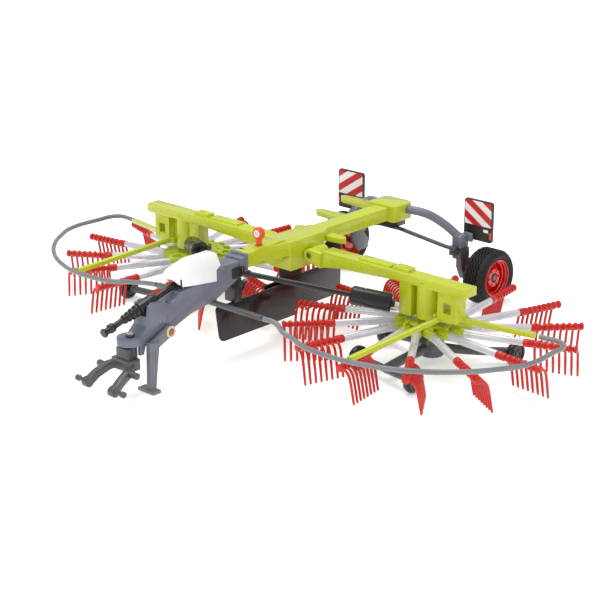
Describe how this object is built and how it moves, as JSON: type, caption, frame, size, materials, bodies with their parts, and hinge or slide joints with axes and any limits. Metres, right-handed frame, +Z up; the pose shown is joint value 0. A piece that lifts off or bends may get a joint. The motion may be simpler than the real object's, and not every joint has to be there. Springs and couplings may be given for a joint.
{
  "type": "toy twin rotor hay rake",
  "caption": "Toy hay rake: drawbar with hitch fork and leg, two folding arms each carrying a spinning rotor of sprung-tine combs on small wheels, and a wheeled rear axle with warning boards.",
  "frame": {"origin": "middle of the bounding box in X and Y, on the ground", "axes": "+X to the machine's left, -Y to the hitch at the front, +Z up"},
  "size_m": [0.4276, 0.3389, 0.0827],
  "materials": {
    "lime": "satin",
    "slate": "satin",
    "dark": "satin",
    "grey": "satin",
    "white": "satin",
    "black": "satin",
    "rubber": "satin",
    "red": "satin",
    "orange": "satin"
  },
  "bodies": {
    "frame": {"drawbar": "slate", "hood": "white", "gearbox": "black", "cross_bar": "dark", "centre_frame": "lime", "lever": "orange", "curtain_front": "black", "curtain_rear": "black", "steer_block": "black", "left_axle": "slate", "right_axle": "slate", "left_board": "white", "right_board": "white"},
    "hitch": {"hitch_fork": "dark"},
    "leg": {"support_leg": "grey"},
    "input": {"input_shaft": "black"},
    "tie_rod": {"tie_rod": "dark"},
    "left_knuckle": {"left_knuckle": "dark"},
    "left_wheel": {"left_tyre": "rubber", "left_rim": "red"},
    "left_arm": {"left_arm": "lime", "left_hoop": "grey", "left_bearing": "black", "left_chassis": "dark"},
    "left_rotor": {"left_rake_arms": "red", "left_hub": "lime"},
    "left_drive": {"left_drive_rod": "black", "left_drive_sleeve": "black"},
    "left_rotor_wheel_1": {"left_rotor_wheel_1": "black"},
    "left_rotor_wheel_2": {"left_rotor_wheel_2": "black"},
    "left_rotor_wheel_3": {"left_rotor_wheel_3": "black"},
    "left_rotor_wheel_4": {"left_rotor_wheel_4": "black"},
    "right_knuckle": {"right_knuckle": "dark"},
    "right_wheel": {"right_tyre": "rubber", "right_rim": "red"},
    "right_arm": {"right_arm": "lime", "right_hoop": "grey", "right_bearing": "black", "right_chassis": "dark"},
    "right_rotor": {"right_rake_arms": "red", "right_hub": "lime"},
    "right_drive": {"right_drive_rod": "black", "right_drive_sleeve": "black"},
    "right_rotor_wheel_1": {"right_rotor_wheel_1": "black"},
    "right_rotor_wheel_2": {"right_rotor_wheel_2": "black"},
    "right_rotor_wheel_3": {"right_rotor_wheel_3": "black"},
    "right_rotor_wheel_4": {"right_rotor_wheel_4": "black"}
  },
  "joints": [
    {"name": "hitch_swivel", "type": "hinge", "parent": "frame", "child": "hitch", "pos_m": [0, -0.141, 0.03], "axis": [0, 0, 1], "range_deg": [-45, 45]},
    {"name": "leg_fold", "type": "hinge", "parent": "frame", "child": "leg", "pos_m": [0.009, -0.115, 0.0358], "axis": [1, 0, 0], "range_deg": [0, 90]},
    {"name": "input_spin", "type": "hinge", "parent": "frame", "child": "input", "pos_m": [0, -0.086, 0.066], "axis": [0, -0.9654, -0.2608], "continuous": true},
    {"name": "tie_rod_shift", "type": "slide", "parent": "frame", "child": "tie_rod", "axis": [1, 0, 0], "range_m": [-0.0026, 0.0026]},
    {"name": "left_steer", "type": "hinge", "parent": "frame", "child": "left_knuckle", "pos_m": [0.0496, 0.1392, 0.038], "axis": [0, 0, 1], "range_deg": [-15, 15]},
    {"name": "left_wheel_roll", "type": "hinge", "parent": "left_knuckle", "child": "left_wheel", "pos_m": [0.0692, 0.1475, 0.021], "axis": [1, 0, 0], "continuous": true},
    {"name": "left_arm_fold", "type": "hinge", "parent": "frame", "child": "left_arm", "pos_m": [0.0165, 0.014, 0.0585], "axis": [0, -1, 0], "range_deg": [0, 86]},
    {"name": "left_rotor_spin", "type": "hinge", "parent": "left_arm", "child": "left_rotor", "pos_m": [0.1106, 0.028, 0.026], "axis": [0, 0, 1], "continuous": true},
    {"name": "left_drive_spin", "type": "hinge", "parent": "left_arm", "child": "left_drive", "pos_m": [0.0096, -0.0466, 0.0584], "axis": [0.8436, 0.5168, -0.1459], "continuous": true},
    {"name": "left_rotor_wheel_1_roll", "type": "hinge", "parent": "left_arm", "child": "left_rotor_wheel_1", "pos_m": [0.0836, -0.016, 0.0085], "axis": [1, 0, 0], "continuous": true},
    {"name": "left_rotor_wheel_2_roll", "type": "hinge", "parent": "left_arm", "child": "left_rotor_wheel_2", "pos_m": [0.1346, -0.022, 0.0085], "axis": [1, 0, 0], "continuous": true},
    {"name": "left_rotor_wheel_3_roll", "type": "hinge", "parent": "left_arm", "child": "left_rotor_wheel_3", "pos_m": [0.1556, 0.06, 0.0085], "axis": [1, 0, 0], "continuous": true},
    {"name": "left_rotor_wheel_4_roll", "type": "hinge", "parent": "left_arm", "child": "left_rotor_wheel_4", "pos_m": [0.0666, 0.034, 0.0085], "axis": [1, 0, 0], "continuous": true},
    {"name": "right_steer", "type": "hinge", "parent": "frame", "child": "right_knuckle", "pos_m": [-0.0496, 0.1392, 0.038], "axis": [0, 0, 1], "range_deg": [-15, 15]},
    {"name": "right_wheel_roll", "type": "hinge", "parent": "right_knuckle", "child": "right_wheel", "pos_m": [-0.0692, 0.1475, 0.021], "axis": [1, 0, 0], "continuous": true},
    {"name": "right_arm_fold", "type": "hinge", "parent": "frame", "child": "right_arm", "pos_m": [-0.0165, 0.014, 0.0585], "axis": [0, 1, 0], "range_deg": [0, 86]},
    {"name": "right_rotor_spin", "type": "hinge", "parent": "right_arm", "child": "right_rotor", "pos_m": [-0.1106, 0.028, 0.026], "axis": [0, 0, 1], "continuous": true},
    {"name": "right_drive_spin", "type": "hinge", "parent": "right_arm", "child": "right_drive", "pos_m": [-0.0096, -0.0466, 0.0584], "axis": [-0.8436, 0.5168, -0.1459], "continuous": true},
    {"name": "right_rotor_wheel_1_roll", "type": "hinge", "parent": "right_arm", "child": "right_rotor_wheel_1", "pos_m": [-0.0836, -0.016, 0.0085], "axis": [1, 0, 0], "continuous": true},
    {"name": "right_rotor_wheel_2_roll", "type": "hinge", "parent": "right_arm", "child": "right_rotor_wheel_2", "pos_m": [-0.1346, -0.022, 0.0085], "axis": [1, 0, 0], "continuous": true},
    {"name": "right_rotor_wheel_3_roll", "type": "hinge", "parent": "right_arm", "child": "right_rotor_wheel_3", "pos_m": [-0.1556, 0.06, 0.0085], "axis": [1, 0, 0], "continuous": true},
    {"name": "right_rotor_wheel_4_roll", "type": "hinge", "parent": "right_arm", "child": "right_rotor_wheel_4", "pos_m": [-0.0666, 0.034, 0.0085], "axis": [1, 0, 0], "continuous": true}
  ],
  "couplings": [
    {"joint": "right_steer", "follows": "left_steer", "ratio": 1},
    {"joint": "tie_rod_shift", "follows": "left_steer", "m_per_rad": 0.0098}
  ]
}
